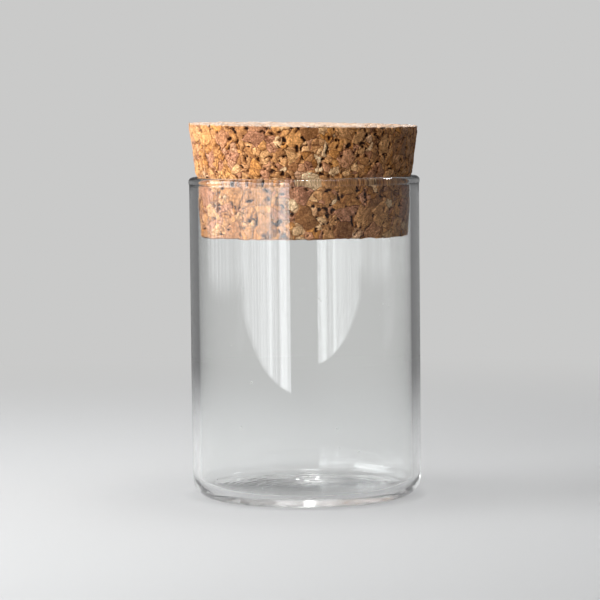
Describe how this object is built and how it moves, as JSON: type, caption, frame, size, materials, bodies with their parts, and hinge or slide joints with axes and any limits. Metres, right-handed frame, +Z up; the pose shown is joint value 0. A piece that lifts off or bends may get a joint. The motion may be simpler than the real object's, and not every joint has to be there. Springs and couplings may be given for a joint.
{
  "type": "glass jar with cork stopper",
  "caption": "Straight-sided clear glass storage jar with a melted round lip and a pushed-up base, closed by a tapered stopper of pressed cork granules that pulls straight out",
  "frame": {"origin": "on the jar's axis, in the plane of the ring that the jar stands on", "axes": "+Z up along the jar's axis, which is its axis of symmetry and its longest side; X and Y lie level, and no side is the front"},
  "size_m": [0.062, 0.062, 0.1008],
  "materials": {
    "clear_glass": "clear, polished",
    "pressed_cork": "matte, granular"
  },
  "bodies": {
    "jar": {"glass_jar": "clear_glass"},
    "stopper": {"cork_stopper": "pressed_cork"}
  },
  "joints": [
    {"name": "stopper_lift", "type": "slide", "parent": "jar", "child": "stopper", "axis": [0, 0, 1], "range_m": [0, 0.06]}
  ]
}
